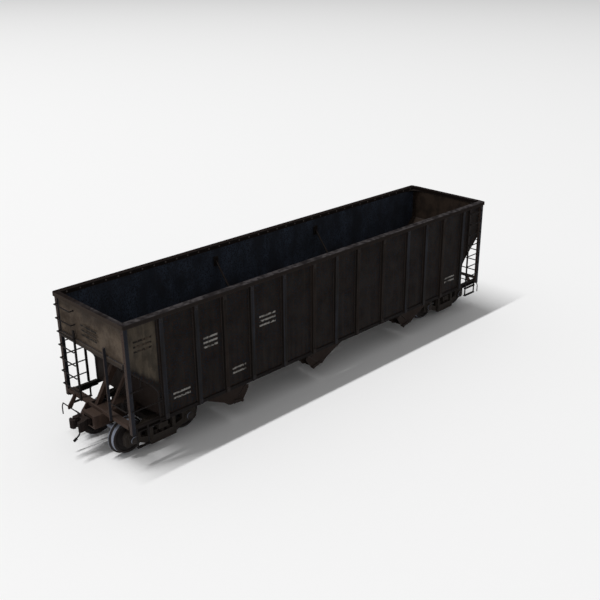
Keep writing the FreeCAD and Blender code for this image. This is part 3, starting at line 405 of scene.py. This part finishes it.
material("screw_steel", SCREW, metallic=0.5, dust=0.1)
material("hose_rubber", RUBBER, rust=0.05, wear=0.0, grain=5.0)
material("stencil_pale", lambda s: stencil(s, True), wear=0.0, dust=0.0, streak=0.15)
material("stencil_dark", lambda s: stencil(s, False), wear=0.0, dust=0.0, streak=0.15)

NODE_MATERIAL = {
    "side_paint": ["side_sheet_right", "side_sheet_left"],
    "post_paint": ["side_posts_right", "side_posts_left"],
    "corner_paint": ["end_posts"],
    "fitting_paint": ["side_sills", "ladders", "grab_irons", "step_irons", "handbrake_stand", "brake_wheel",
                      "uncoupling_lever_a", "uncoupling_lever_b", "control_valve"],
    "end_a_paint": ["end_sheet_a"],
    "end_b_paint": ["end_sheet_b"],
    "rim_paint": ["top_chord"],
    "load_floor": ["slope_sheets", "cross_ridges", "sill_hood"],
    "brace_paint": ["cross_braces"],
    "bay_paint": ["hopper_bay_a", "hopper_bay_mid", "hopper_bay_b", "door_pair_a", "door_pair_mid",
                  "door_pair_b", "door_latch_a", "door_latch_mid", "door_latch_b", "body_bolsters"],
    "underframe": ["centre_sill", "draft_covers", "end_sills", "end_struts", "brake_reservoir",
                   "brake_cylinder", "brake_pipe"],
    "truck_casting": ["sideframes_a", "sideframes_b", "truck_bolster_a", "truck_bolster_b",
                      "brake_beams_a", "brake_beams_b"],
    "wheel_steel": ["wheels_a1", "wheels_a2", "wheels_b1", "wheels_b2",
                    "axle_a1", "axle_a2", "axle_b1", "axle_b2"],
    "spring_steel": ["truck_springs_a", "truck_springs_b"],
    "coupler_casting": ["coupler_a", "coupler_b", "knuckle_a", "knuckle_b"],
    "screw_steel": ["screws"],
    "hose_rubber": ["air_hoses"],
}
for material_name, node_names in NODE_MATERIAL.items():
    for node_name in node_names:
        for material_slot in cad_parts[node_name].material_slots:
            material_slot.material = materials[material_name]


# ---- worn edges of the main shapes --------------------------------------
BEVELS = {
    0.1: ["side_posts_right", "side_posts_left", "top_chord", "end_sills", "end_posts", "centre_sill",
          "draft_covers"],
    0.16: ["sideframes_a", "sideframes_b", "truck_bolster_a", "truck_bolster_b", "coupler_a", "coupler_b",
           "knuckle_a", "knuckle_b"],
}
for bevel_width, node_names in BEVELS.items():
    for node_name in node_names:
        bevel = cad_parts[node_name].modifiers.new("worn_edges", "BEVEL")
        bevel.width = bevel_width * MM
        bevel.segments = 2
        bevel.limit_method = "ANGLE"
        bevel.angle_limit = math.radians(35)
        bevel.use_clamp_overlap = True


# ---- small fittings -----------------------------------------------------
def point(x, y, z):
    """Place in metres of a point given in millimetres above the rail head."""
    return Vector((x, y, z + FLANGE)) * MM


def add_piece(name, mesh, material_name, body):
    data = bpy.data.meshes.new(name)
    mesh.to_mesh(data)
    mesh.free()
    data.materials.append(materials[material_name])
    piece = bpy.data.objects.new(name, data)
    bpy.context.scene.collection.objects.link(piece)
    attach(piece, body)
    return piece


def turned(mesh, at, axis, profile, sides):
    """Adds a turned shape: profile is (radius, distance along axis) in millimetres."""
    turn = Vector(axis).to_track_quat("Z", "Y").to_matrix()
    rings = []
    for radius, reach in profile:
        ring = []
        for i in range(sides):
            angle = 2 * math.pi * i / sides
            local = Vector((radius * math.cos(angle), radius * math.sin(angle), reach)) * MM
            ring.append(mesh.verts.new(at + turn @ local))
        rings.append(ring)
    for lower, upper in zip(rings, rings[1:]):
        for i in range(sides):
            mesh.faces.new((lower[i], lower[(i + 1) % sides], upper[(i + 1) % sides], upper[i]))
    mesh.faces.new(rings[-1])


def bolt(mesh, at, axis, size):
    """Washer with a hexagon head, standing on a surface."""
    turned(mesh, at, axis, [(size * 1.25, -0.02), (size * 1.25, size * 0.2), (size * 1.15, size * 0.3)], 12)
    turned(mesh, at, axis, [(size, 0.0), (size, size * 0.75), (size * 0.8, size * 0.95)], 6)


def rivet(mesh, at, axis, size):
    """Domed head, standing on a surface."""
    turned(mesh, at, axis, [(size, -0.02), (size * 0.9, size * 0.35), (size * 0.5, size * 0.62),
                            (size * 0.15, size * 0.7)], 10)


def plate(mesh, corners, thickness, toward):
    """Thin plate with softened edges on a surface; corners in metres, toward is outward."""
    out = Vector(toward).normalized()
    middle = sum(corners, Vector()) / len(corners)
    base = [mesh.verts.new(c) for c in corners]
    top = [mesh.verts.new(c + out * thickness * 0.7 * MM) for c in corners]
    crown = [mesh.verts.new(middle + (c - middle) * 0.97 + out * thickness * MM) for c in corners]
    count = len(corners)
    for low_ring, high_ring in ((base, top), (top, crown)):
        for i in range(count):
            mesh.faces.new((low_ring[i], low_ring[(i + 1) % count], high_ring[(i + 1) % count], high_ring[i]))
    mesh.faces.new(crown)


def side_rect(mesh, x0, x1, z0, z1, y, thickness=0.03):
    corners = [point(x0, y, z0), point(x1, y, z0), point(x1, y, z1), point(x0, y, z1)]
    plate(mesh, corners, thickness, (0, math.copysign(1, y), 0))


def end_rect(mesh, y0, y1, z0, z1, x, thickness=0.03):
    corners = [point(x, y0, z0), point(x, y1, z0), point(x, y1, z1), point(x, y0, z1)]
    plate(mesh, corners, thickness, (math.copysign(1, x), 0, 0))


side_low, side_high = box_mm("side_sheet_right")
end_low, end_high = box_mm("end_sheet_a")
post_low, post_high = box_mm("side_posts_right")
rim_low, rim_high = box_mm("top_chord")
sill_low, sill_high = box_mm("side_sills")
corner_low, corner_high = box_mm("end_posts")
SHEET_Y = -side_low.y
POST_FACE_Y = -post_low.y
END_X = side_high.x
UNDER_RIM = rim_low.z - 0.1

# Posts: a cap plate under the rim, a foot plate on the sill, and their rivets.
PLATE_HALF_WIDTH = 0.6
PLATE_THICKNESS = 0.12
PLATE_RIVET_RISE = (0.4, 1.2)         # above the plate's lower edge
POST_FLANGE_X = 0.93                  # rivets through the post's flanges, from its middle
CAP_PLATE = (UNDER_RIM - 1.6, UNDER_RIM)
FOOT_PLATE = (post_low.z + 0.15, post_low.z + 1.85)
post_bolts = bmesh.new()
post_plates = bmesh.new()
for side in (-1, 1):
    outward = (0, side, 0)
    for post_x in POSTS:
        for bottom, top in (CAP_PLATE, FOOT_PLATE):
            side_rect(post_plates, post_x - PLATE_HALF_WIDTH, post_x + PLATE_HALF_WIDTH, bottom, top,
                      side * POST_FACE_Y, PLATE_THICKNESS)
            for rise in PLATE_RIVET_RISE:
                rivet(post_bolts, point(post_x, side * (POST_FACE_Y + 0.1), bottom + rise), outward, 0.2)
        for z in (FOOT_PLATE[1] + 0.6, CAP_PLATE[1] - 0.6):
            for dx in (-POST_FLANGE_X, POST_FLANGE_X):
                rivet(post_bolts, point(post_x + dx, side * (SHEET_Y + 0.17), z), outward, 0.13)
add_piece("post_plates", post_plates, "post_paint", "car_body")
add_piece("post_bolts", post_bolts, "fitting_paint", "car_body")

# Bolts along the inner face of the rim, and gussets in the corners of end B.
RIM_INNER_Y = rim_high.y - 2.2
RIM_MIDDLE = (rim_low.z + rim_high.z) / 2
RIM_BOLT_PITCH = 4.5
FITTING_BOLT = 0.24
GUSSET = [(0.6, 0.1), (5.0, 0.1), (2.9, 0.7), (1.4, 2.1), (0.8, 4.1)]   # in from the end, from the rim
rim_bolts = bmesh.new()
gussets = bmesh.new()
for side in (-1, 1):
    for i in range(-18, 19):
        bolt(rim_bolts, point(RIM_BOLT_PITCH * i, side * RIM_INNER_Y, RIM_MIDDLE), (0, -side, 0),
             FITTING_BOLT)
    corners = [point(END_X - x, side * (RIM_INNER_Y - y), rim_low.z - 0.2) for x, y in GUSSET]
    plate(gussets, corners if side > 0 else corners[::-1], 0.35, (0, 0, 1))
add_piece("rim_bolts", rim_bolts, "rim_bolt", "car_body")
add_piece("rim_gussets", gussets, "fitting_paint", "car_body")

# Rivets along the side sills, and up both faces of the corner posts.
SILL_RIVET_PITCH = 3.0
CORNER_RIVET_START = 14.5
CORNER_RIVET_PITCH = 2.1
CORNER_FACE_X = END_X + 0.35
sill_rivets = bmesh.new()
for side in (-1, 1):
    for i in range(-24, 25):
        spot = point(SILL_RIVET_PITCH * i, side * sill_high.y, sill_high.z - 0.7)
        rivet(sill_rivets, spot, (0, side, 0), 0.14)
    for end in (-1, 1):
        for i in range(14):
            z = CORNER_RIVET_START + CORNER_RIVET_PITCH * i
            rivet(sill_rivets, point(end * (END_X - 0.5), side * corner_high.y, z), (0, side, 0), 0.13)
            spot = point(end * CORNER_FACE_X, side * (corner_high.y - 0.75), z)
            rivet(sill_rivets, spot, (end, 0, 0), 0.13)
add_piece("sill_rivets", sill_rivets, "post_paint", "car_body")

# Ladders: a bolt at the foot of each rung, and the upper length of the side
# ladders' inner stiles, which run on up the side sheets to the rim.
RUNG_START = 15.2
RUNG_PITCH = 4.35
END_STILE_Y = 8.4
END_STILE_TOP = 35.2                  # rungs above this rest on the end sheet
END_STILE_DEPTH = 0.9
SIDE_STILE_X = 76.4
SIDE_STILE_HALF_WIDTH = 0.4
SIDE_STILE_DEPTH = 0.8
SIDE_STILE_JOIN = 26.4
ladder_bolts = bmesh.new()
stile_tops = bmesh.new()
for end in (-1, 1):
    for i in range(7):
        z = RUNG_START + RUNG_PITCH * i
        end_face = END_X + END_STILE_DEPTH if z < END_STILE_TOP else END_X
        bolt(ladder_bolts, point(end * end_face, -end * END_STILE_Y, z), (end, 0, 0), FITTING_BOLT)
        spot = point(end * SIDE_STILE_X, -end * (SHEET_Y + SIDE_STILE_DEPTH), z)
        bolt(ladder_bolts, spot, (0, -end, 0), FITTING_BOLT)
    middle_x = end * SIDE_STILE_X
    side_rect(stile_tops, middle_x - SIDE_STILE_HALF_WIDTH, middle_x + SIDE_STILE_HALF_WIDTH,
              SIDE_STILE_JOIN, UNDER_RIM, -end * SHEET_Y, SIDE_STILE_DEPTH)
add_piece("ladder_stile_tops", stile_tops, "post_paint", "car_body")
add_piece("ladder_bolts", ladder_bolts, "fitting_paint", "car_body")

# Bearing end caps, each with three cap screws.
CAP_PROFILE = [(0.98, -0.3), (1.05, 0.05), (0.98, 0.2), (0.62, 0.3), (0.2, 0.34)]
CAP_SCREW_CIRCLE = 0.68
for axle_name in ("a1", "a2", "b1", "b2"):
    caps = bmesh.new()
    axle_low, axle_high = box_mm("axle_" + axle_name)
    axle = (axle_low + axle_high) / 2
    for side in (-1, 1):
        outward = (0, side, 0)
        cap_at = point(axle.x, side * (axle_high.y - 0.15), axle.z)
        turned(caps, cap_at, outward, CAP_PROFILE, 24)
        for i in range(3):
            angle = math.radians(90 + 120 * i)
            reach = Vector((math.cos(angle), 0, math.sin(angle))) * CAP_SCREW_CIRCLE
            bolt(caps, cap_at + (reach + Vector((0, side * 0.22, 0))) * MM, outward, 0.18)
    add_piece("bearing_caps_" + axle_name, caps, "truck_casting", "wheelset_" + axle_name)

# Plain equal bars where such a car carries painted data. They stand in the
# middle of a panel, spaced from the panel's own size, and spell nothing.
pale_marks = bmesh.new()
dark_marks = bmesh.new()
BAR_SHARE = 0.5           # part of the panel's width that a bar takes
BAR_PITCH = 1.5
BAR_HEIGHT = 0.6
LOW_PANELS = (0, 2, 11)   # counted from end A, the first one between posts 0 and 1
HIGH_PANELS = (1, 3)


def equal_bars(mesh, rect, start, end, middle, count, face):
    """count bars one above another, centred between start and end and about middle."""
    half = (end - start) * BAR_SHARE / 2
    centre_at = (start + end) / 2
    for i in range(count):
        low_z = middle + (i - count / 2) * BAR_PITCH
        rect(mesh, centre_at - half, centre_at + half, low_z, low_z + BAR_HEIGHT, face)


side_height = side_high.z - side_low.z
end_middle = (end_low.z + end_high.z) / 2
for panels, share, count in ((LOW_PANELS, 0.2, 2), (HIGH_PANELS, 0.6, 3)):
    for panel in panels:
        equal_bars(pale_marks, side_rect, POSTS[panel], POSTS[panel + 1], side_low.z + share * side_height,
                   count, side_low.y)
equal_bars(dark_marks, side_rect, side_low.x, POSTS[0], end_middle, 3, side_low.y)
equal_bars(dark_marks, end_rect, end_low.y / 2, end_high.y / 2, end_middle, 3, end_low.x)
add_piece("pale_marks", pale_marks, "stencil_pale", "car_body")
add_piece("dark_marks", dark_marks, "stencil_dark", "car_body")


# ---- floor, light and camera --------------------------------------------
centre = (cad_low + cad_high) / 2
floor_mesh = bmesh.new()
bmesh.ops.create_grid(floor_mesh, x_segments=1, y_segments=1, size=4.0)
floor_data = bpy.data.meshes.new("floor")
floor_mesh.to_mesh(floor_data)
floor_mesh.free()
floor = bpy.data.objects.new("floor", floor_data)
floor.location = (centre.x, centre.y, cad_low.z)
bpy.context.scene.collection.objects.link(floor)
floor_shade = Shade("floor_pale", specular=0.0)
floor_shade.surface.inputs["Base Color"].default_value = FLOOR
floor_shade.surface.inputs["Roughness"].default_value = 0.95
floor_data.materials.append(floor_shade.material)

SKY_LIGHT = 0.46
world = bpy.data.worlds.new("studio")
bpy.context.scene.world = world
world.use_nodes = True
sky = world.node_tree.nodes
sky.clear()
path = sky.new("ShaderNodeLightPath")
seen = sky.new("ShaderNodeMath")
seen.operation = "MAXIMUM"
seen_all = sky.new("ShaderNodeMath")
seen_all.operation = "MAXIMUM"
strength = sky.new("ShaderNodeMapRange")
strength.inputs["To Min"].default_value = SKY_LIGHT
strength.inputs["To Max"].default_value = 1.0
background = sky.new("ShaderNodeBackground")
world_output = sky.new("ShaderNodeOutputWorld")
joins = world.node_tree.links
joins.new(path.outputs["Is Camera Ray"], seen.inputs[0])
joins.new(path.outputs["Is Glossy Ray"], seen.inputs[1])
joins.new(seen.outputs[0], seen_all.inputs[0])
joins.new(path.outputs["Is Transmission Ray"], seen_all.inputs[1])
joins.new(seen_all.outputs[0], strength.inputs["Value"])
joins.new(strength.outputs[0], background.inputs["Strength"])
joins.new(background.outputs[0], world_output.inputs["Surface"])

# A long narrow strip lamp overhead, in line with the car: sharp shadow edges
# beside the car, soft ones beyond its ends.
STRIP_HEIGHT = 4.0
STRIP_START, STRIP_END = -0.60, 0.06     # sideways reach along X, per metre of height
STRIP_SIDE = 0.15                        # sideways reach along Y, per metre of height
STRIP_WIDTH = 0.10
STRIP_WATTS = 118.0
strip_data = bpy.data.lights.new("strip", "AREA")
strip_data.shape = "RECTANGLE"
strip_data.size = (STRIP_END - STRIP_START) * STRIP_HEIGHT
strip_data.size_y = STRIP_WIDTH
strip_data.energy = STRIP_WATTS
strip = bpy.data.objects.new("strip", strip_data)
strip.location = ((STRIP_START + STRIP_END) / 2 * STRIP_HEIGHT, STRIP_SIDE * STRIP_HEIGHT, STRIP_HEIGHT)
bpy.context.scene.collection.objects.link(strip)

CAMERA_AZIMUTH = math.radians(-44.439)
CAMERA_ELEVATION = math.radians(22.339)
CAMERA_ROLL = -0.00786
CAMERA_LENS = 51.351
CAMERA_PLACE = Vector((-0.19689, -0.20069, 0.13855))     # from the car's origin
back = Vector((math.sin(CAMERA_AZIMUTH) * math.cos(CAMERA_ELEVATION),
               -math.cos(CAMERA_AZIMUTH) * math.cos(CAMERA_ELEVATION), math.sin(CAMERA_ELEVATION)))
right = Vector((math.cos(CAMERA_AZIMUTH), math.sin(CAMERA_AZIMUTH), 0.0))
up = back.cross(right)
level_right, level_up = right, up
right = level_right * math.cos(CAMERA_ROLL) + level_up * math.sin(CAMERA_ROLL)
up = level_up * math.cos(CAMERA_ROLL) - level_right * math.sin(CAMERA_ROLL)
camera_data = bpy.data.cameras.new("camera")
camera_data.lens = CAMERA_LENS
camera_data.sensor_width = 36.0
camera_data.clip_start = 0.01
camera_data.clip_end = 20.0
camera = bpy.data.objects.new("camera", camera_data)
camera.matrix_world = Matrix.Translation(CAMERA_PLACE) @ Matrix((right, up, back)).transposed().to_4x4()
bpy.context.scene.collection.objects.link(camera)
bpy.context.scene.camera = camera
bpy.context.scene.view_settings.view_transform = "Standard"
